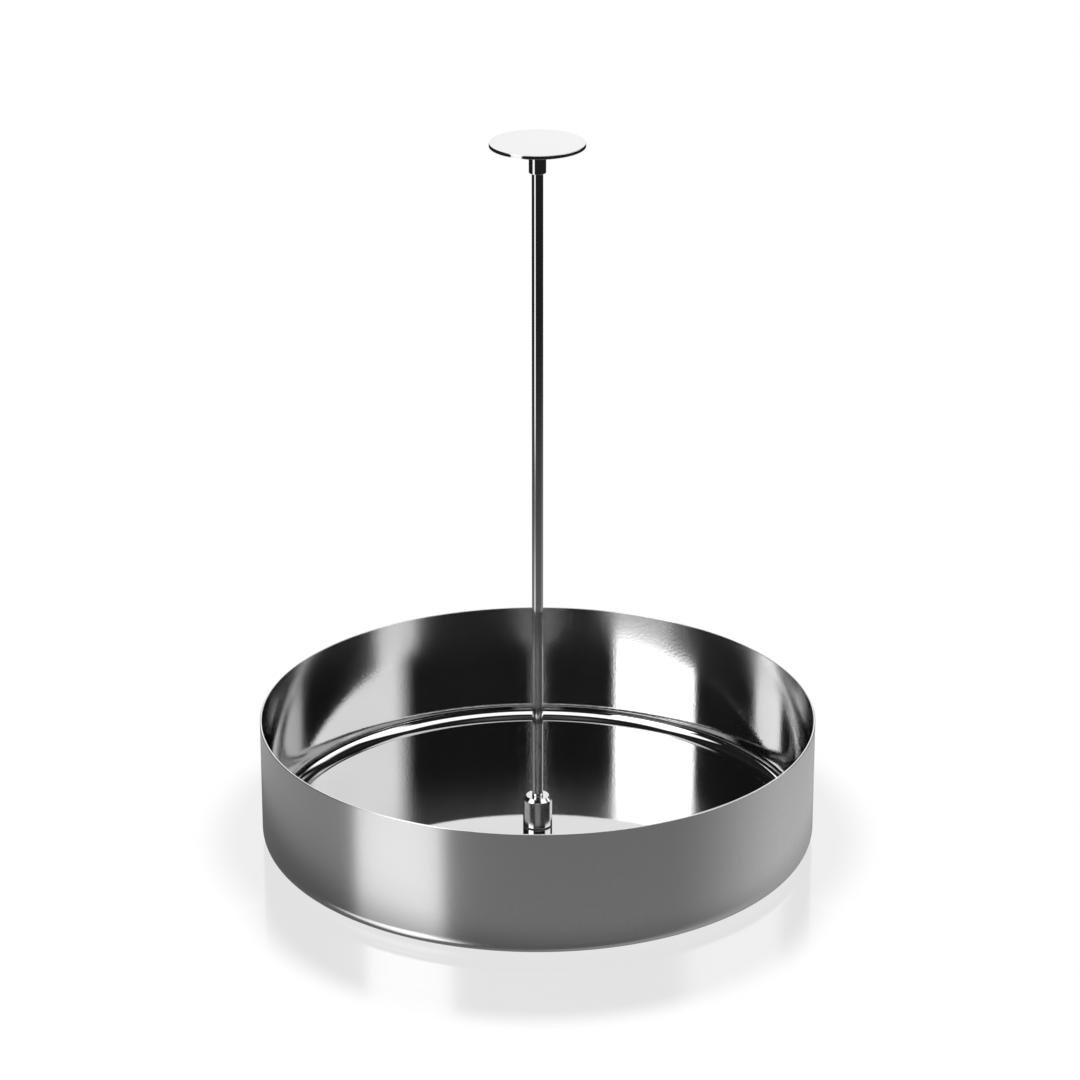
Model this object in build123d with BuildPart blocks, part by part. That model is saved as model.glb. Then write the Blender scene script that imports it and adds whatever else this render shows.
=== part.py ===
from build123d import *
import os

# A round serving tray with a tall central handle, all in polished stainless steel.
# Millimetres, +Z up. The origin is on the tray's axis, in the plane that the tray stands on.
# Body "tray": the drawn pan and the socket screwed to its floor from below.
# Body "handle": the rod, which screws into the socket, and the flat round grip on top of it.

os.makedirs("parts", exist_ok=True)

# ---- Driving dimensions ----
TRAY_RADIUS = 150.0
TRAY_HEIGHT = 70.0
TOTAL_HEIGHT = 390.0
SHEET = 1.0                  # wall and floor of the drawn pan
CORNER_RADIUS = 8.5          # outside of the bend between floor and wall
RIM_ROUND = 0.3

FLOOR_LIFT = 3.0             # the raised floor's underside, above the table
STEP_TOP_RADIUS = 137.2      # where the raised floor's underside turns down to the foot ring
STEP_FOOT_RADIUS = 139.8     # where the step meets the foot ring
STEP_BEND = 1.6              # outside of both bends of the step
FLOOR_HOLE = 5.5

THREAD = 5.0                 # M5 major diameter, on screw, rod and stud
TAPPED = 5.1                 # plain bore that stands for an M5 thread
LEAD_IN = 0.4                # chamfer where a thread starts

SOCKET_DIAMETER = 16.0
SOCKET_LENGTH = 17.0
SOCKET_TOP_CHAMFER = 1.8
SOCKET_FOOT_CHAMFER = 0.3
SOCKET_TOP_THREAD = 9.5      # depth of the thread that takes the rod
SOCKET_FOOT_THREAD = 6.5     # depth of the thread that takes the screw

GASKET_DIAMETER = 15.4
GASKET_THICKNESS = 0.5

WASHER_DIAMETER = 15.0
WASHER_HOLE = 5.3
WASHER_THICKNESS = 0.6

LOCK_WASHER_RING = 8.4
LOCK_WASHER_DIAMETER = 10.0
LOCK_WASHER_THICKNESS = 0.4
LOCK_WASHER_TEETH = 12
LOCK_WASHER_TOOTH = 1.1      # width of one tooth

SCREW_HEAD_DIAMETER = 9.0
SCREW_HEAD_HEIGHT = 1.4
SCREW_LENGTH = 8.0
SCREW_KEY = 3.0              # hexagon key, across flats
SCREW_KEY_DEPTH = 2.2

ROD_DIAMETER = 6.0
ROD_FOOT_SPIGOT = 9.0
ROD_TOP_SPIGOT = 7.0

COLLAR_DIAMETER = 9.0
COLLAR_LENGTH = 14.0
COLLAR_CHAMFER = 0.25
COLLAR_RECESS_DIAMETER = 6.8
COLLAR_RECESS_DEPTH = 1.0

DISC_DIAMETER = 50.0
DISC_THICKNESS = 2.0
DISC_ROUND = 0.3

STUD_FLANGE_DIAMETER = 6.4
STUD_FLANGE_THICKNESS = 0.8
STUD_LENGTH = 7.0

# ---- Levels, from the table up ----
FLOOR_TOP = FLOOR_LIFT + SHEET
SOCKET_FOOT = FLOOR_TOP + GASKET_THICKNESS
SOCKET_TOP = SOCKET_FOOT + SOCKET_LENGTH
WASHER_FOOT = FLOOR_LIFT - WASHER_THICKNESS
LOCK_WASHER_FOOT = WASHER_FOOT - LOCK_WASHER_THICKNESS
SCREW_FOOT = LOCK_WASHER_FOOT - SCREW_HEAD_HEIGHT
DISC_FOOT = TOTAL_HEIGHT - DISC_THICKNESS
COLLAR_FOOT = DISC_FOOT - COLLAR_LENGTH
ROD_LENGTH = COLLAR_FOOT - SOCKET_TOP

# ---- Tray body ----
# The pan is one sheet: raised floor, step down to a narrow foot ring, bend, straight wall.
# Its underside is drawn as a line and thickened inwards.
with BuildPart() as tray_pan:
    with BuildSketch(Plane.XZ):
        with BuildLine():
            FilletPolyline(
                (FLOOR_HOLE / 2, FLOOR_LIFT),
                (STEP_TOP_RADIUS, FLOOR_LIFT),
                (STEP_FOOT_RADIUS, 0),
                (TRAY_RADIUS, 0),
                (TRAY_RADIUS, TRAY_HEIGHT),
                radius=[STEP_BEND, STEP_BEND, CORNER_RADIUS],
            )
            offset(amount=SHEET, side=Side.LEFT)
        make_face()
    revolve(axis=Axis.Z)
    rim_edges = tray_pan.edges().group_by(Axis.Z)[-1]
    fillet(rim_edges, RIM_ROUND)
tray_pan.part.label = "tray_pan"
export_step(tray_pan.part, "parts/tray_pan.step")

# The socket is turned from bar and tapped at both ends, with a solid web between the threads.
with BuildPart() as handle_socket:
    with BuildSketch(Plane.XY.offset(SOCKET_FOOT)):
        Circle(SOCKET_DIAMETER / 2)
    extrude(amount=SOCKET_LENGTH)
    chamfer(handle_socket.edges().group_by(Axis.Z)[-1], SOCKET_TOP_CHAMFER)
    chamfer(handle_socket.edges().group_by(Axis.Z)[0], SOCKET_FOOT_CHAMFER)
    with BuildSketch(Plane.XY.offset(SOCKET_TOP)):
        Circle(TAPPED / 2)
    extrude(amount=-SOCKET_TOP_THREAD, mode=Mode.SUBTRACT)
    with BuildSketch(Plane.XY.offset(SOCKET_FOOT)):
        Circle(TAPPED / 2)
    extrude(amount=SOCKET_FOOT_THREAD, mode=Mode.SUBTRACT)
handle_socket.part.label = "handle_socket"
export_step(handle_socket.part, "parts/handle_socket.step")

with BuildPart() as socket_gasket:
    with BuildSketch(Plane.XY.offset(FLOOR_TOP)):
        Circle(GASKET_DIAMETER / 2)
        Circle(FLOOR_HOLE / 2, mode=Mode.SUBTRACT)
    extrude(amount=GASKET_THICKNESS)
socket_gasket.part.label = "socket_gasket"
export_step(socket_gasket.part, "parts/socket_gasket.step")

with BuildPart() as underside_washer:
    with BuildSketch(Plane.XY.offset(WASHER_FOOT)):
        Circle(WASHER_DIAMETER / 2)
        Circle(WASHER_HOLE / 2, mode=Mode.SUBTRACT)
    extrude(amount=WASHER_THICKNESS)
underside_washer.part.label = "underside_washer"
export_step(underside_washer.part, "parts/underside_washer.step")

# The toothed washer keeps the socket from turning when the rod is unscrewed.
with BuildPart() as lock_washer:
    with BuildSketch(Plane.XY.offset(LOCK_WASHER_FOOT)):
        Circle(LOCK_WASHER_RING / 2)
        with PolarLocations(LOCK_WASHER_RING / 4, LOCK_WASHER_TEETH):
            Rectangle(LOCK_WASHER_DIAMETER / 2 - LOCK_WASHER_RING / 4, LOCK_WASHER_TOOTH,
                      align=(Align.MIN, Align.CENTER))
        Circle(WASHER_HOLE / 2, mode=Mode.SUBTRACT)
    extrude(amount=LOCK_WASHER_THICKNESS)
lock_washer.part.label = "lock_washer"
export_step(lock_washer.part, "parts/lock_washer.step")

with BuildPart() as fixing_screw:
    with BuildSketch(Plane.XY.offset(SCREW_FOOT)):
        Circle(SCREW_HEAD_DIAMETER / 2)
    extrude(amount=SCREW_HEAD_HEIGHT)
    chamfer(fixing_screw.edges().group_by(Axis.Z)[0], LEAD_IN)
    with BuildSketch(Plane.XY.offset(LOCK_WASHER_FOOT)):
        Circle(THREAD / 2)
    extrude(amount=SCREW_LENGTH)
    chamfer(fixing_screw.edges().group_by(Axis.Z)[-1], LEAD_IN)
    with BuildSketch(Plane.XY.offset(SCREW_FOOT)):
        RegularPolygon(SCREW_KEY / 2, 6, major_radius=False)
    extrude(amount=SCREW_KEY_DEPTH, mode=Mode.SUBTRACT)
fixing_screw.part.label = "fixing_screw"
export_step(fixing_screw.part, "parts/fixing_screw.step")

# ---- Handle body ----
# The rod's shoulder sits on the socket's flat top; a threaded spigot at each end is turned down.
with BuildPart() as rod:
    with BuildSketch(Plane.XY.offset(SOCKET_TOP)):
        Circle(ROD_DIAMETER / 2)
    extrude(amount=ROD_LENGTH)
    with BuildSketch(Plane.XY.offset(SOCKET_TOP)):
        Circle(THREAD / 2)
    extrude(amount=-ROD_FOOT_SPIGOT)
    with BuildSketch(Plane.XY.offset(COLLAR_FOOT)):
        Circle(THREAD / 2)
    extrude(amount=ROD_TOP_SPIGOT)
    spigot_ends = rod.edges().group_by(Axis.Z)
    chamfer(spigot_ends[0] + spigot_ends[-1], LEAD_IN)
rod.part.label = "rod"
export_step(rod.part, "parts/rod.step")

# The collar is tapped right through: the rod enters from below and the disc's stud from above.
with BuildPart() as grip_collar:
    with BuildSketch(Plane.XY.offset(COLLAR_FOOT)):
        Circle(COLLAR_DIAMETER / 2)
    extrude(amount=COLLAR_LENGTH)
    chamfer(grip_collar.edges().group_by(Axis.Z)[0], COLLAR_CHAMFER)
    with BuildSketch(Plane.XY.offset(COLLAR_FOOT)):
        Circle(TAPPED / 2)
    extrude(amount=COLLAR_LENGTH, mode=Mode.SUBTRACT)
    with BuildSketch(Plane.XY.offset(DISC_FOOT)):
        Circle(COLLAR_RECESS_DIAMETER / 2)
    extrude(amount=-COLLAR_RECESS_DEPTH, mode=Mode.SUBTRACT)
grip_collar.part.label = "grip_collar"
export_step(grip_collar.part, "parts/grip_collar.step")

with BuildPart() as disc_stud:
    with BuildSketch(Plane.XY.offset(DISC_FOOT)):
        Circle(STUD_FLANGE_DIAMETER / 2)
    extrude(amount=-STUD_FLANGE_THICKNESS)
    with BuildSketch(Plane.XY.offset(DISC_FOOT)):
        Circle(THREAD / 2)
    extrude(amount=-STUD_LENGTH)
    chamfer(disc_stud.edges().group_by(Axis.Z)[0], LEAD_IN)
disc_stud.part.label = "disc_stud"
export_step(disc_stud.part, "parts/disc_stud.step")

with BuildPart() as grip_disc:
    with BuildSketch(Plane.XY.offset(DISC_FOOT)):
        Circle(DISC_DIAMETER / 2)
    extrude(amount=DISC_THICKNESS)
    fillet(grip_disc.edges(), DISC_ROUND)
grip_disc.part.label = "grip_disc"
export_step(grip_disc.part, "parts/grip_disc.step")
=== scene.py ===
import math

import bpy
from mathutils import Matrix, Vector


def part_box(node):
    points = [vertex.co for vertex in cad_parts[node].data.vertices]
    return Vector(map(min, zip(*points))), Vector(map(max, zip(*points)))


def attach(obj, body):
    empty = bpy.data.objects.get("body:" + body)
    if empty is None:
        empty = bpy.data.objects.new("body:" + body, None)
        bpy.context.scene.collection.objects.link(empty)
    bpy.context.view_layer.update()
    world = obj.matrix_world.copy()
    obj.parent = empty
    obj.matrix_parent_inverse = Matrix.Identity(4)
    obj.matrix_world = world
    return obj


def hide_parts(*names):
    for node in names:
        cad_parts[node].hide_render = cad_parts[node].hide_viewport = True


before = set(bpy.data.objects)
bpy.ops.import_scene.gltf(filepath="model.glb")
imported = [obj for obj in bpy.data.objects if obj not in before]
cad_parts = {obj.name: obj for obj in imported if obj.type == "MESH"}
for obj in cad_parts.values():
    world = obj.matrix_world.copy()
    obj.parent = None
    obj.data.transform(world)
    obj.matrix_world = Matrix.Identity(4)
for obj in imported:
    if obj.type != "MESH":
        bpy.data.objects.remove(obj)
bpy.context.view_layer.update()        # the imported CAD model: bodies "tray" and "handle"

# A round polished-steel serving tray with a thin central handle, in metres, in the frame of the
# CAD model. Every piece made here is round about the Z axis: a profile in (radius, height), revolved,
# with exact normals except on its threads. The fixing screw and the lock washer stay as CAD made them.
# Places and outer sizes come from the CAD nodes' boxes; the others are named below.

MM = 0.001

# ---- Sizes that the boxes don't give ----
SHEET = 1.0 * MM
CORNER_RADIUS = 8.5 * MM
RIM_ROUND = 0.3 * MM
STEP_TOP_RADIUS = 137.2 * MM
STEP_FOOT_RADIUS = 139.8 * MM
STEP_BEND = 1.6 * MM
FLOOR_HOLE = 2.75 * MM

THREAD_PITCH = 0.8 * MM
ROWS_PER_PITCH = 12
THREAD_FLAT_ROOT = 0.15      # share of half a pitch that is the flat root
THREAD_FLANK = 0.6           # share of half a pitch that slopes; the rest is the flat crest
THREAD_OUTER = 2.48 * MM     # crest of a thread on a shank
THREAD_ROOT = 2.08 * MM
TAPPED_INNER = 2.55 * MM     # crest of a thread in a bore
TAPPED_ROOT = 2.92 * MM

SOCKET_TOP_CHAMFER = 1.8 * MM
SOCKET_TOP_THREAD = 9.5 * MM
SOCKET_FOOT_THREAD = 6.5 * MM
DISC_ROUND = 0.3 * MM
COLLAR_RECESS_RADIUS = 3.4 * MM
COLLAR_RECESS_DEPTH = 1.0 * MM
STUD_FLANGE_THICKNESS = 0.8 * MM
ROD_TOP_SPIGOT = 7.0 * MM
ROD_FOOT_SPIGOT = 9.0 * MM
RELIEF_RADIUS = 1.95 * MM    # groove between a thread and its shoulder
RELIEF_LENGTH = 0.9 * MM
WASHER_HOLE = 2.65 * MM

# ---- Small roundings and lead-ins ----
EDGE_ROUND = 0.08 * MM       # the broken edge of a hole, a web or a shank's tip
SMALL_ROUND = 0.1 * MM       # edges of washer, gasket, flange and collar
MOUTH_ROUND = 0.15 * MM      # mouth of a threaded bore
BORE_MOUTH = 0.3 * MM        # depth at which a bore's thread starts
THREAD_END = 0.2 * MM        # how far a shank's end is below its thread's root
ROD_LEAD = 0.5 * MM          # length of the tapered tip before the thread, at each end of the rod
STUD_LEAD = 0.4 * MM         # the same at the stud's tip
STUD_RUN_OUT = 0.3 * MM      # plain length between the stud's thread and its flange
RELIEF_TAPER = 0.13 * MM     # length of the slope from a thread's root into its groove
RELIEF_ROUND = 0.2 * MM
SOCKET_FOOT_ROUND = 0.3 * MM
CHAMFER_ROUND = 0.2 * MM     # both edges of the socket's chamfer
ROD_FOOT_ROUND = 0.4 * MM
ROD_TOP_ROUND = 0.12 * MM
COLLAR_FOOT_ROUND = 0.25 * MM

# ---- Facets round each piece ----
PAN_FACETS = 512
SOCKET_FACETS = 160
RING_FACETS = 128
ROD_FACETS = 128
COLLAR_FACETS = 128
STUD_FACETS = 96
DISC_FACETS = 256


def radius_of(node):
    """Outer radius of a CAD node that is round about the Z axis."""
    low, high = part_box(node)
    return min(high.x, high.y, -low.x, -low.y)


def level(node):
    """Lowest and highest level of a CAD node."""
    low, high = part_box(node)
    return low.z, high.z


# ---- Profiles ----
def unit(a, b):
    length = math.hypot(b[0] - a[0], b[1] - a[1])
    return (b[0] - a[0]) / length, (b[1] - a[1]) / length


def rounded(corners, closed=False, arc_step=math.radians(7.5)):
    """Samples (radius, height, normal in radius, normal in height) along a line through corners,
    each (radius, height, rounding). The solid is on the left of the line's direction."""
    samples = []
    count = len(corners)
    for i, (r, z, rounding) in enumerate(corners):
        if not closed and i in (0, count - 1):
            other = corners[1] if i == 0 else corners[count - 2]
            d = unit((r, z), other) if i == 0 else unit(other, (r, z))
            samples.append((r, z, d[1], -d[0]))
            continue
        before = unit(corners[i - 1], (r, z))
        after = unit((r, z), corners[(i + 1) % count])
        cross = before[0] * after[1] - before[1] * after[0]
        turn = math.atan2(cross, before[0] * after[0] + before[1] * after[1])
        side = 1 if turn > 0 else -1
        back = rounding * math.tan(abs(turn) / 2)
        start = (r - before[0] * back, z - before[1] * back)
        centre = (start[0] - side * before[1] * rounding, start[1] + side * before[0] * rounding)
        steps = max(2, math.ceil(abs(turn) / arc_step))
        for k in range(steps + 1):
            angle = math.atan2(before[1], before[0]) + turn * k / steps
            nr, nz = math.sin(angle), -math.cos(angle)
            place = (centre[0] + side * nr * rounding, centre[1] + side * nz * rounding)
            samples.append((*place, nr, nz))
    return samples


def offset_left(points, distance):
    """The line moved to its left, with its corners mitred."""
    moved = []
    for i, point in enumerate(points):
        before = unit(points[i - 1], point) if i else unit(point, points[1])
        after = unit(point, points[i + 1]) if i < len(points) - 1 else before
        bisector = (-(before[1] + after[1]) / 2, (before[0] + after[0]) / 2)
        scale = distance / (bisector[0] ** 2 + bisector[1] ** 2)
        moved.append((point[0] + bisector[0] * scale, point[1] + bisector[1] * scale))
    return moved


def thread_rows(r, z_from, z_to, cut, inward=False):
    """Samples along a threaded stretch, closely spaced, each with the depth of thread it carries.
    The thread grows to its full depth over one pitch at each end."""
    length = abs(z_to - z_from)
    steps = math.ceil(length / (THREAD_PITCH / ROWS_PER_PITCH))
    rows = []
    for k in range(steps + 1):
        z = z_from + (z_to - z_from) * k / steps
        run_out = min(1.0, (length * min(k, steps - k) / steps) / THREAD_PITCH)
        rows.append((r, z, -1.0 if inward else 1.0, 0.0, cut * run_out))
    return rows


def tooth(phase):
    """Height of a thread, 0 at its root and 1 at its flat crest, over one turn of phase."""
    triangle = 1 - abs(2 * (phase % 1.0) - 1)
    return min(1.0, max(0.0, (triangle - THREAD_FLAT_ROOT) / THREAD_FLANK))


# ---- Meshes ----
ON_AXIS = 1e-7               # a sample nearer to the axis than this is a single point
SAME_PLACE = 1e-8            # two samples nearer than this are one


def lathe(name, profile, segments, closed=False):
    """Revolves a profile about the Z axis. A fifth value in a sample is the depth of a thread.
    Where two stretches of a profile meet, the second one's copy of the shared sample is dropped."""
    profile = [sample for i, sample in enumerate(profile)
               if i == 0 or math.dist(sample[:2], profile[i - 1][:2]) > SAME_PLACE]
    vertices, normals, rings = [], [], []
    for sample in profile:
        r, z, nr, nz = sample[:4]
        cut = sample[4] if len(sample) > 4 else 0.0
        if r < ON_AXIS:
            rings.append([len(vertices)])
            vertices.append((0.0, 0.0, z))
            normals.append((0.0, 0.0, 1.0 if nz > 0 else -1.0))
            continue
        rings.append(list(range(len(vertices), len(vertices) + segments)))
        for j in range(segments):
            angle = 2 * math.pi * j / segments
            c, s = math.cos(angle), math.sin(angle)
            rr = r + cut * tooth(z / THREAD_PITCH - j / segments) if cut else r
            vertices.append((rr * c, rr * s, z))
            normals.append(None if cut else (nr * c, nr * s, nz))
    faces = []
    pairs = list(zip(rings, rings[1:])) + ([(rings[-1], rings[0])] if closed else [])
    for a, b in pairs:
        for j in range(segments):
            k = (j + 1) % segments
            if len(a) == 1:
                faces.append((a[0], b[k], b[j]))
            elif len(b) == 1:
                faces.append((a[j], a[k], b[0]))
            else:
                faces.append((a[j], a[k], b[k], b[j]))
    mesh = bpy.data.meshes.new(name)
    mesh.from_pydata(vertices, [], faces)
    mesh.update()
    mesh.shade_smooth()
    exact = [n or tuple(v.normal) for n, v in zip(normals, mesh.vertices)]
    mesh.normals_split_custom_set_from_vertices(exact)
    piece = bpy.data.objects.new(name, mesh)
    bpy.context.scene.collection.objects.link(piece)
    return piece


def finish_piece(piece, node, body, slot, *materials):
    """Puts a piece in place of its CAD node."""
    for material in materials:
        piece.data.materials.append(material)
    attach(piece, body)
    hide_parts(node)


# ---- Materials ----
CLOUD_SCALE = 22.0           # broad uneven patches, in cells a metre
PEEL_SCALE = 700.0           # orange-peel grain
RUBBER_SCALE = 4000.0
MARKS_SHARE, CLOUD_SHARE = 0.6, 0.4    # what each adds to the unevenness of the roughness
UNEVEN_LOW, UNEVEN_HIGH = 0.3, 0.7     # the range of that unevenness
DRAWN_FROM, DRAWN_TO = 0.030, 0.070    # levels between which the wall grows rougher


class Nodes:
    """A short way to write a node tree."""

    def __init__(self, tree):
        self.tree = tree
        tree.nodes.clear()

    def add(self, kind, inputs=(), **settings):
        node = self.tree.nodes.new(kind)
        for key, value in settings.items():
            setattr(node, key, value)
        for key, value in dict(inputs).items():
            if isinstance(value, bpy.types.NodeSocket):
                self.tree.links.new(value, node.inputs[key])
            else:
                node.inputs[key].default_value = value
        return node

    def math(self, operation, a, b=0.0, c=0.0):
        return self.add("ShaderNodeMath", {0: a, 1: b, 2: c}, operation=operation).outputs[0]

    def noise(self, vector, scale, detail, roughness=0.5):
        inputs = {"Vector": vector, "Scale": scale, "Detail": detail, "Roughness": roughness}
        return self.add("ShaderNodeTexNoise", inputs).outputs["Fac"]

    def map(self, value, low, high, to_low, to_high, smooth=False):
        kind = "SMOOTHSTEP" if smooth else "LINEAR"
        inputs = {"Value": value, "From Min": low, "From Max": high, "To Min": to_low, "To Max": to_high}
        return self.add("ShaderNodeMapRange", inputs, interpolation_type=kind).outputs["Result"]


def new_material(name):
    material = bpy.data.materials.new(name)
    material.use_nodes = True
    return material, Nodes(material.node_tree)


def round_coordinates(n, around, across, along):
    """Coordinates that follow a turned piece: distance around, radius and height, each scaled."""
    place = n.add("ShaderNodeTexCoord").outputs["Object"]
    parts = n.add("ShaderNodeSeparateXYZ", {0: place})
    angle = n.math("ARCTAN2", parts.outputs["Y"], parts.outputs["X"])
    x2 = n.math("MULTIPLY", parts.outputs["X"], parts.outputs["X"])
    radius = n.math("SQRT", n.math("MULTIPLY_ADD", parts.outputs["Y"], parts.outputs["Y"], x2))
    scaled = {0: n.math("MULTIPLY", angle, around), 1: n.math("MULTIPLY", radius, across),
              2: n.math("MULTIPLY", parts.outputs["Z"], along)}
    return place, n.add("ShaderNodeCombineXYZ", scaled).outputs[0]


def steel(name, tone, roughness, spread, grain, depth, pebble=0.0, drawn=0.0):
    """Stainless steel. tone is its darkest and lightest base colour; roughness varies by spread.
    grain is the scale of its working marks (around, across, along); depth is how deep they are.
    pebble is the depth of the finer orange-peel grain that drawing leaves in sheet.
    drawn is how much rougher a wall is at its rim than at its foot."""
    material, n = new_material(name)
    place, along_marks = round_coordinates(n, *grain)
    marks = n.noise(along_marks, 1.0, 3.0, roughness=0.6)
    cloud = n.noise(place, CLOUD_SCALE, 4.0)
    ramp = n.add("ShaderNodeValToRGB", {0: cloud})
    for stop, value in zip(ramp.color_ramp.elements, tone):
        stop.color = (value, value, value, 1.0)
    uneven = n.math("ADD", n.math("MULTIPLY", marks, MARKS_SHARE), n.math("MULTIPLY", cloud, CLOUD_SHARE))
    rough = n.map(uneven, UNEVEN_LOW, UNEVEN_HIGH, roughness - spread, roughness + spread)
    if drawn:
        height = n.add("ShaderNodeSeparateXYZ", {0: place}).outputs["Z"]
        rough = n.math("ADD", rough, n.map(height, DRAWN_FROM, DRAWN_TO, 0.0, drawn, smooth=True))
    bump = n.add("ShaderNodeBump", {"Height": marks, "Strength": 1.0, "Distance": depth})
    normal = bump.outputs[0]
    if pebble:
        peel = n.noise(place, PEEL_SCALE, 2.0)
        normal = n.add("ShaderNodeBump", {"Height": peel, "Strength": 1.0, "Distance": pebble,
                                          "Normal": normal}).outputs[0]
    shader = n.add("ShaderNodeBsdfPrincipled", {"Base Color": ramp.outputs["Color"], "Metallic": 1.0,
                                                "Roughness": rough, "Normal": normal})
    n.add("ShaderNodeOutputMaterial", {"Surface": shader.outputs[0]})
    return material


def rubber(name):
    material, n = new_material(name)
    place = n.add("ShaderNodeTexCoord").outputs["Object"]
    fine = n.noise(place, RUBBER_SCALE, 2.0)
    ramp = n.add("ShaderNodeValToRGB", {0: fine})
    for stop, value in zip(ramp.color_ramp.elements, (0.012, 0.03)):
        stop.color = (value, value, value, 1.0)
    bump = n.add("ShaderNodeBump", {"Height": fine, "Strength": 0.4, "Distance": 0.02 * MM})
    shader = n.add("ShaderNodeBsdfPrincipled", {"Base Color": ramp.outputs["Color"], "Roughness": 0.6,
                                                "Normal": bump.outputs[0]})
    n.add("ShaderNodeOutputMaterial", {"Surface": shader.outputs[0]})
    return material


# ---- Tray pieces ----
OUTSIDE, WALL_INSIDE, RIM, FLOOR_INSIDE = range(4)    # the pan's materials, in order
RIM_MARGIN = 1e-6
FACING_UP = 0.02             # a face whose normal rises more than this faces into the tray


def make_tray_pan(outside, wall_inside, rim, floor_inside):
    outer_r = radius_of("tray_pan")
    foot, top = level("tray_pan")
    floor_under = level("underside_washer")[1]
    line = [(FLOOR_HOLE, floor_under), (STEP_TOP_RADIUS, floor_under), (STEP_FOOT_RADIUS, foot),
            (outer_r, foot), (outer_r, top)]
    bends = [EDGE_ROUND, STEP_BEND, STEP_BEND, CORNER_RADIUS, RIM_ROUND]
    inner_bends = [EDGE_ROUND, STEP_BEND + SHEET, STEP_BEND - SHEET, CORNER_RADIUS - SHEET, RIM_ROUND]
    corners = [(r, z, bend) for (r, z), bend in zip(line, bends)]
    inner = [(r, z, bend) for (r, z), bend in zip(offset_left(line, SHEET), inner_bends)]
    profile = rounded(corners + inner[::-1], closed=True)
    pan = lathe("tray_pan_drawn", profile, PAN_FACETS, closed=True)
    finish_piece(pan, "tray_pan", "tray", "tray_steel", outside, wall_inside, rim, floor_inside)
    rim_level = top - RIM_ROUND - RIM_MARGIN
    middle = outer_r - SHEET / 2
    for face in pan.data.polygons:
        z = face.center.z
        if z > rim_level:
            face.material_index = RIM
        else:
            radius = math.hypot(face.center.x, face.center.y)
            facing_in = face.normal.z > FACING_UP or (radius < middle and z > foot + CORNER_RADIUS)
            on_floor = z < foot + CORNER_RADIUS
            inside = FLOOR_INSIDE if on_floor else WALL_INSIDE
            face.material_index = inside if facing_in else OUTSIDE


def make_handle_socket(material):
    r = radius_of("handle_socket")
    foot, top = level("handle_socket")
    web_low, web_high = foot + SOCKET_FOOT_THREAD, top - SOCKET_TOP_THREAD
    cut = TAPPED_ROOT - TAPPED_INNER
    profile = rounded([(0, web_low, 0), (TAPPED_INNER, web_low, EDGE_ROUND), (TAPPED_INNER, foot, 0)])[:-1]
    profile += thread_rows(TAPPED_INNER, web_low - EDGE_ROUND, foot + BORE_MOUTH, cut, True)
    profile += rounded([(TAPPED_INNER, foot + BORE_MOUTH, 0), (TAPPED_INNER, foot, MOUTH_ROUND),
                        (r, foot, SOCKET_FOOT_ROUND), (r, top - SOCKET_TOP_CHAMFER, CHAMFER_ROUND),
                        (r - SOCKET_TOP_CHAMFER, top, CHAMFER_ROUND), (TAPPED_INNER, top, MOUTH_ROUND),
                        (TAPPED_INNER, top - BORE_MOUTH, 0)])
    profile += thread_rows(TAPPED_INNER, top - BORE_MOUTH, web_high + EDGE_ROUND, cut, True)
    profile += rounded([(TAPPED_INNER, top, 0), (TAPPED_INNER, web_high, EDGE_ROUND), (0, web_high, 0)])[1:]
    socket = lathe("handle_socket_turned", profile, SOCKET_FACETS)
    finish_piece(socket, "handle_socket", "tray", "handle_steel", material)


def make_ring(name, node, hole, slot, material):
    """A plain washer or gasket of the tray with rounded edges, in place of its CAD node."""
    r = radius_of(node)
    foot, top = level(node)
    corners = [(hole, foot), (r, foot), (r, top), (hole, top)]
    profile = rounded([(*corner, SMALL_ROUND) for corner in corners], closed=True)
    finish_piece(lathe(name, profile, RING_FACETS, closed=True), node, "tray", slot, material)


# ---- Handle pieces ----
def make_rod(material):
    r = radius_of("rod")
    foot, top = level("rod")
    shoulder_low, shoulder_high = foot + ROD_FOOT_SPIGOT, top - ROD_TOP_SPIGOT
    groove_low, groove_high = shoulder_low - RELIEF_LENGTH, shoulder_high + RELIEF_LENGTH
    end = THREAD_ROOT - THREAD_END
    cut = THREAD_OUTER - THREAD_ROOT
    profile = rounded([(0, foot, 0), (end, foot, EDGE_ROUND), (THREAD_ROOT, foot + ROD_LEAD, 0)])
    profile += thread_rows(THREAD_ROOT, foot + ROD_LEAD, groove_low, cut)
    profile += rounded([(THREAD_ROOT, groove_low, 0), (RELIEF_RADIUS, groove_low + RELIEF_TAPER, EDGE_ROUND),
                        (RELIEF_RADIUS, shoulder_low, RELIEF_ROUND), (r, shoulder_low, ROD_FOOT_ROUND),
                        (r, shoulder_high, ROD_TOP_ROUND), (RELIEF_RADIUS, shoulder_high, RELIEF_ROUND),
                        (RELIEF_RADIUS, groove_high - RELIEF_TAPER, EDGE_ROUND),
                        (THREAD_ROOT, groove_high, 0)])
    profile += thread_rows(THREAD_ROOT, groove_high, top - ROD_LEAD, cut)
    profile += rounded([(THREAD_ROOT, top - ROD_LEAD, 0), (end, top, EDGE_ROUND), (0, top, 0)])
    finish_piece(lathe("rod_turned", profile, ROD_FACETS), "rod", "handle", "handle_steel", material)


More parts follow.
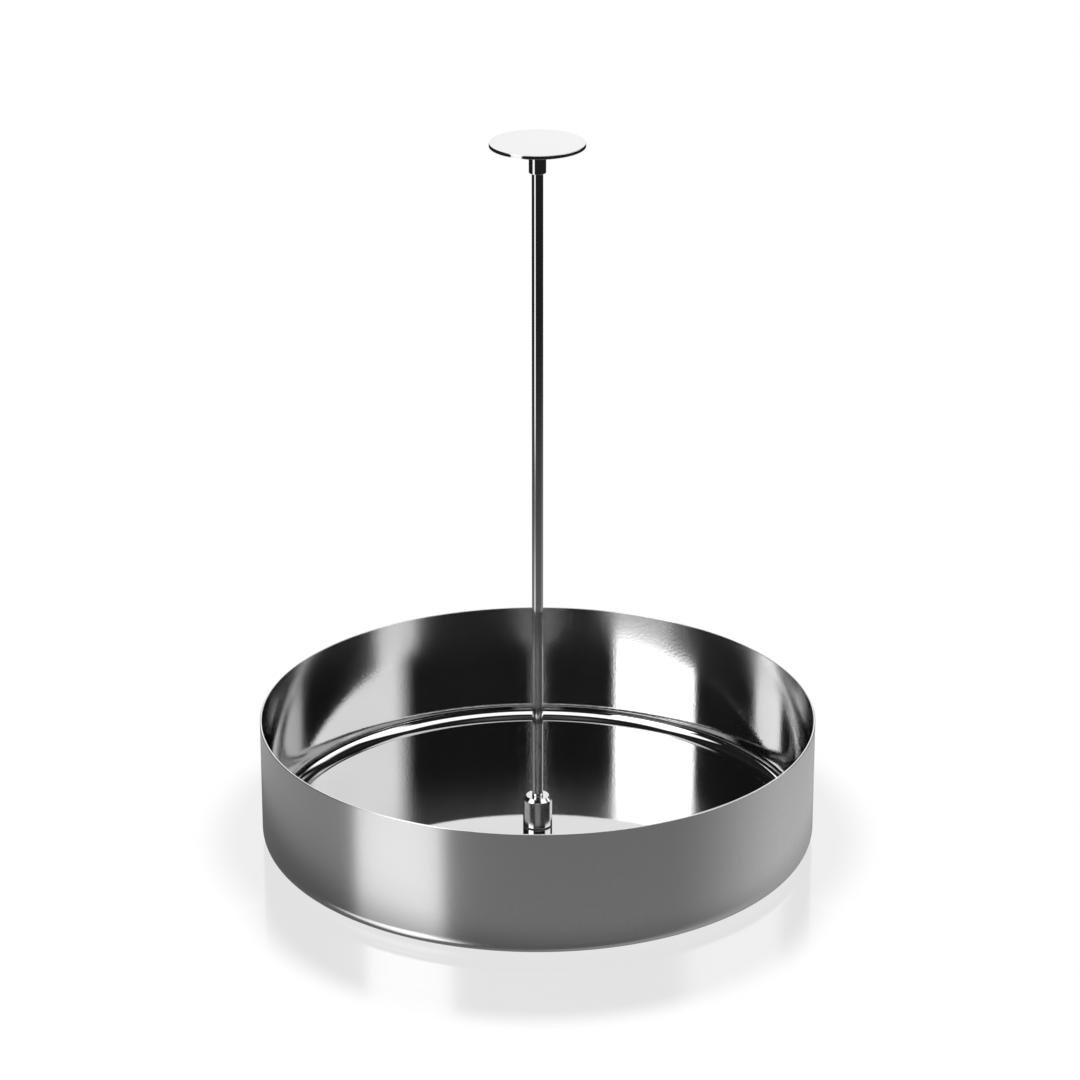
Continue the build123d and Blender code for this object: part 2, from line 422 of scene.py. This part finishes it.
def make_grip_collar(material):
    r = radius_of("grip_collar")
    foot, top = level("grip_collar")
    recess = top - COLLAR_RECESS_DEPTH
    cut = TAPPED_ROOT - TAPPED_INNER
    profile = rounded([(TAPPED_INNER, foot + BORE_MOUTH, 0), (TAPPED_INNER, foot, MOUTH_ROUND),
                       (r, foot, COLLAR_FOOT_ROUND), (r, top, SMALL_ROUND),
                       (COLLAR_RECESS_RADIUS, top, SMALL_ROUND), (COLLAR_RECESS_RADIUS, recess, SMALL_ROUND),
                       (TAPPED_INNER, recess, SMALL_ROUND), (TAPPED_INNER, recess - BORE_MOUTH, 0)])
    profile += thread_rows(TAPPED_INNER, recess - BORE_MOUTH, foot + BORE_MOUTH, cut, True)[:-1]
    collar = lathe("grip_collar_turned", profile, COLLAR_FACETS, closed=True)
    finish_piece(collar, "grip_collar", "handle", "handle_steel", material)


def make_disc_stud(material):
    r = radius_of("disc_stud")
    foot, top = level("disc_stud")
    flange = top - STUD_FLANGE_THICKNESS
    thread_top = flange - STUD_RUN_OUT
    end = THREAD_ROOT - THREAD_END
    profile = rounded([(0, foot, 0), (end, foot, EDGE_ROUND), (THREAD_ROOT, foot + STUD_LEAD, 0)])
    profile += thread_rows(THREAD_ROOT, foot + STUD_LEAD, thread_top, THREAD_OUTER - THREAD_ROOT)
    profile += rounded([(THREAD_ROOT, thread_top, 0), (THREAD_ROOT, flange, SMALL_ROUND),
                        (r, flange, SMALL_ROUND), (r, top, SMALL_ROUND), (0, top, 0)])
    stud = lathe("disc_stud_welded", profile, STUD_FACETS)
    finish_piece(stud, "disc_stud", "handle", "fixing_steel", material)


def make_grip_disc(material):
    r = radius_of("grip_disc")
    foot, top = level("grip_disc")
    profile = rounded([(0, foot, 0), (r, foot, DISC_ROUND), (r, top, DISC_ROUND), (0, top, 0)])
    disc = lathe("grip_disc_polished", profile, DISC_FACETS)
    finish_piece(disc, "grip_disc", "handle", "handle_steel", material)


# ---- Studio ----
STUDIO_RADIUS = 3.0
CARD_COLUMNS = 48
CARD_ROWS = 32
ROOM_GLOW = 0.022            # how bright the dark room is in reflections

# The grey table below the horizon, as reflections see it
TABLE_GLOW = 0.26            # in front
TABLE_GLOW_BEHIND = 0.27     # added behind
TABLE_GLOW_RIGHT = 0.17      # added behind and to the right, taken away on the left
TABLE_NEAR, TABLE_FAR = -0.435, -0.315    # it fades out between these Z parts of a direction
BEHIND_FROM, BEHIND_TO = -0.6, 0.6        # from front to behind, as the cosine of the bearing
NEARLY_UPRIGHT = 0.001       # keeps the bearing of an upright direction from dividing by zero

# The white floor
FLOOR_HALF = 2.4
FLOOR_LEVEL = -0.02 * MM
SHEEN_SHARE = 0.24           # how much of the floor's look is reflection, close to the tray
SHEEN_COLOR = (0.3, 0.3, 0.3, 1.0)
SHEEN_ROUGHNESS = 0.08
CONTACT_SHADE = 0.60         # how bright the studio is through the floor, next to the tray
SHADOW_SHADE = 0.50

# Fades of the floor: the centre's X and Y, and where the fade begins and ends, measured outwards
# from the tray's radius
SHEEN_IN_FRONT = (0.0, -0.064, -0.010, 0.015)
SHEEN_ALL_ROUND = (0.0, 0.0, 0.010, 0.040)
CONTACT = (-0.010, 0.0, 0.0, 0.040)
SHADOW = (-0.050, 0.0, -0.060, 0.050)

# Light cards, placed for the camera's view: range of azimuth and of elevation in degrees,
# strength, and width of the faded edge. Some lie below the horizon, where the floor lets them through.
SOFTBOXES = {
    "key_softbox": ((-75, -33), (19, 54), 5.0, 3),
    "key_low_edge": ((-67, -36), (-18, -1), 1.6, 3),
    "key_in_table": ((-80, -36), (-60, -17), 1.0, 4),
    "key_in_table_near": ((-100, -44), (-68, -32), 3.0, 6),
    "right_card": ((56, 126), (6, 42), 2.4, 12),
    "backdrop": ((158, 202), (-8, 62), 1.36, 8),
    "overhead": ((0, 360), (72, 90), 0.12, 10),
    "front_overhead": ((-95, 95), (32, 62), 2.1, 3),
}


def toward(azimuth, elevation, distance):
    """A point seen from the tray in that direction. Azimuth 0 is towards the camera, 90 is +X."""
    a, e = math.radians(azimuth), math.radians(elevation)
    return Vector((math.sin(a) * math.cos(e), -math.cos(a) * math.cos(e), math.sin(e))) * distance


def softbox(name, azimuth, elevation, strength, edge):
    """A curved light card of the studio, seen only in reflections. It fades over edge degrees."""
    vertices, glow, faces = [], [], []
    for i in range(CARD_ROWS + 1):
        e = elevation[0] + (elevation[1] - elevation[0]) * i / CARD_ROWS
        for j in range(CARD_COLUMNS + 1):
            a = azimuth[0] + (azimuth[1] - azimuth[0]) * j / CARD_COLUMNS
            inside = min(a - azimuth[0], azimuth[1] - a, e - elevation[0], elevation[1] - e) / edge
            t = min(1.0, max(0.0, inside))
            vertices.append(toward(a, e, STUDIO_RADIUS))
            glow.append(t * t * (3 - 2 * t))
    for i in range(CARD_ROWS):
        for j in range(CARD_COLUMNS):
            k = i * (CARD_COLUMNS + 1) + j
            above = k + CARD_COLUMNS + 1
            faces.append((k, k + 1, above + 1, above))
    mesh = bpy.data.meshes.new(name)
    mesh.from_pydata(vertices, [], faces)
    mesh.attributes.new("glow", "FLOAT", "POINT").data.foreach_set("value", glow)
    card = bpy.data.objects.new(name, mesh)
    bpy.context.scene.collection.objects.link(card)
    material, n = new_material(name)
    glow_here = n.add("ShaderNodeAttribute", attribute_name="glow").outputs["Fac"]
    light = n.add("ShaderNodeEmission", {"Strength": n.math("MULTIPLY", glow_here, strength)})
    clear = n.add("ShaderNodeBsdfTransparent")
    both = n.add("ShaderNodeAddShader", {0: light.outputs[0], 1: clear.outputs[0]})
    n.add("ShaderNodeOutputMaterial", {"Surface": both.outputs[0]})
    mesh.materials.append(material)
    card.visible_camera = False
    card.visible_shadow = False


def make_world():
    """White to the camera. In reflections: a dim room above, and below it a grey table, which is
    brighter behind and to the right, and dark far away, just under the horizon."""
    world = bpy.data.worlds.new("studio_room")
    bpy.context.scene.world = world
    world.use_nodes = True
    n = Nodes(world.node_tree)
    generated = n.add("ShaderNodeTexCoord").outputs["Generated"]
    direction = n.add("ShaderNodeSeparateXYZ", {0: generated}).outputs
    flat = n.math("SQRT", n.math("SUBTRACT", 1.0, n.math("MULTIPLY", direction["Z"], direction["Z"])))
    flat = n.math("MAXIMUM", flat, NEARLY_UPRIGHT)
    back, right = n.math("DIVIDE", direction["Y"], flat), n.math("DIVIDE", direction["X"], flat)
    behind = n.map(back, BEHIND_FROM, BEHIND_TO, 0.0, 1.0, smooth=True)
    glow_behind = n.math("MULTIPLY_ADD", right, TABLE_GLOW_RIGHT, TABLE_GLOW_BEHIND)
    table = n.math("MULTIPLY_ADD", behind, glow_behind, TABLE_GLOW)
    below = n.map(direction["Z"], TABLE_NEAR, TABLE_FAR, 1.0, 0.0, smooth=True)
    room = n.math("MULTIPLY_ADD", n.math("SUBTRACT", table, ROOM_GLOW), below, ROOM_GLOW)
    is_camera = n.add("ShaderNodeLightPath").outputs["Is Camera Ray"]
    strength = n.math("MULTIPLY_ADD", n.math("SUBTRACT", 1.0, room), is_camera, room)
    light = n.add("ShaderNodeBackground", {"Color": (1, 1, 1, 1), "Strength": strength})
    n.add("ShaderNodeOutputWorld", {"Surface": light.outputs[0]})


def make_floor(tray_radius):
    """A white floor with a faint reflection close to the tray. Seen in steel it's clear, so that the
    studio below it shows, and darkened where the tray stands in its own shadow."""
    mesh = bpy.data.meshes.new("floor")
    half = FLOOR_HALF
    corners = [(-half, -half), (half, -half), (half, half), (-half, half)]
    mesh.from_pydata([(x, y, FLOOR_LEVEL) for x, y in corners], [], [(0, 1, 2, 3)])
    floor = bpy.data.objects.new("floor", mesh)
    bpy.context.scene.collection.objects.link(floor)
    material, n = new_material("floor_white")
    place = n.add("ShaderNodeTexCoord").outputs["Object"]

    def fade(x, y, begin, end, at_begin, at_end):
        """A value that changes with distance from (x, y), as the fades above are written."""
        moved = n.add("ShaderNodeVectorMath", {0: place, 1: (-x, -y, 0.0)}, operation="ADD").outputs[0]
        away = n.add("ShaderNodeVectorMath", {0: moved}, operation="LENGTH").outputs["Value"]
        return n.map(away, tray_radius + begin, tray_radius + end, at_begin, at_end, smooth=True)

    in_front = fade(*SHEEN_IN_FRONT, SHEEN_SHARE, 0.0)
    all_round = fade(*SHEEN_ALL_ROUND, SHEEN_SHARE, 0.0)
    mirror_share = n.math("MAXIMUM", in_front, all_round)
    contact = fade(*CONTACT, CONTACT_SHADE, 1.0)
    shadow = fade(*SHADOW, SHADOW_SHADE, 1.0)
    shade = n.math("MULTIPLY", contact, shadow)
    white = n.add("ShaderNodeEmission", {"Strength": 1.0})
    sheen = n.add("ShaderNodeBsdfGlossy", {"Color": SHEEN_COLOR, "Roughness": SHEEN_ROUGHNESS})
    seen = n.add("ShaderNodeMixShader", {0: mirror_share, 1: white.outputs[0], 2: sheen.outputs[0]})
    clear = n.add("ShaderNodeBsdfTransparent", {"Color": shade})
    is_camera = n.add("ShaderNodeLightPath").outputs["Is Camera Ray"]
    mixed = n.add("ShaderNodeMixShader", {0: is_camera, 1: clear.outputs[0], 2: seen.outputs[0]})
    n.add("ShaderNodeOutputMaterial", {"Surface": mixed.outputs[0]})
    mesh.materials.append(material)


def make_studio():
    make_world()
    make_floor(radius_of("tray_pan"))
    for name, card in SOFTBOXES.items():
        softbox(name, *card)


# ---- Camera ----
CAMERA_BACK = 1.991
CAMERA_UP = 0.963
CAMERA_RIGHT = 0.0013
CAMERA_PITCH = 21.69         # degrees below the horizon
CAMERA_LENS = 134.3
CAMERA_SENSOR = 36.0


def make_camera():
    data = bpy.data.cameras.new("camera")
    data.lens = CAMERA_LENS
    data.sensor_width = CAMERA_SENSOR
    data.clip_start, data.clip_end = 0.05, 50.0
    camera = bpy.data.objects.new("camera", data)
    bpy.context.scene.collection.objects.link(camera)
    turn = Matrix.Rotation(math.radians(90 - CAMERA_PITCH), 4, "X")
    camera.matrix_world = Matrix.Translation((CAMERA_RIGHT, -CAMERA_BACK, CAMERA_UP)) @ turn
    bpy.context.scene.camera = camera


make_camera()
make_studio()

satin = steel("tray_outside_satin", (0.61, 0.67), 0.20, 0.03, (60, 40, 300), 0.0010 * MM)
# The inside wall and floor are polished, and they also have a lower base colour than the outside of the same
# sheet. That lower colour is painted shade, which darkens the light passed back and forth inside the tray.
wall_polish_and_shade = steel("tray_wall_polish_and_shade", (0.48, 0.53), 0.070, 0.025, (260, 60, 25), 0.0034 * MM,
                    pebble=0.016 * MM, drawn=0.09)
floor_polish_and_shade = steel("tray_floor_polish_and_shade", (0.48, 0.52), 0.022, 0.01, (120, 900, 20), 0.0008 * MM,
                     pebble=0.0015 * MM)
rim = steel("tray_rim", (0.62, 0.66), 0.12, 0.02, (40, 2000, 2000), 0.0004 * MM)
turned = steel("handle_turned", (0.54, 0.58), 0.06, 0.02, (3, 4000, 4000), 0.0003 * MM)
plated = steel("fixing_plain", (0.50, 0.58), 0.24, 0.05, (3, 5000, 5000), 0.002 * MM)
seal = rubber("gasket_rubber")

make_tray_pan(satin, wall_polish_and_shade, rim, floor_polish_and_shade)
make_handle_socket(turned)
make_ring("socket_gasket_cut", "socket_gasket", FLOOR_HOLE, "gasket_rubber", seal)
make_ring("underside_washer_stamped", "underside_washer", WASHER_HOLE, "fixing_steel", plated)
make_rod(turned)
make_grip_collar(turned)
make_disc_stud(plated)
make_grip_disc(turned)
for node in ("lock_washer", "fixing_screw"):
    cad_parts[node].data.materials.clear()
    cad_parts[node].data.materials.append(plated)

bpy.context.scene.view_settings.view_transform = "Standard"
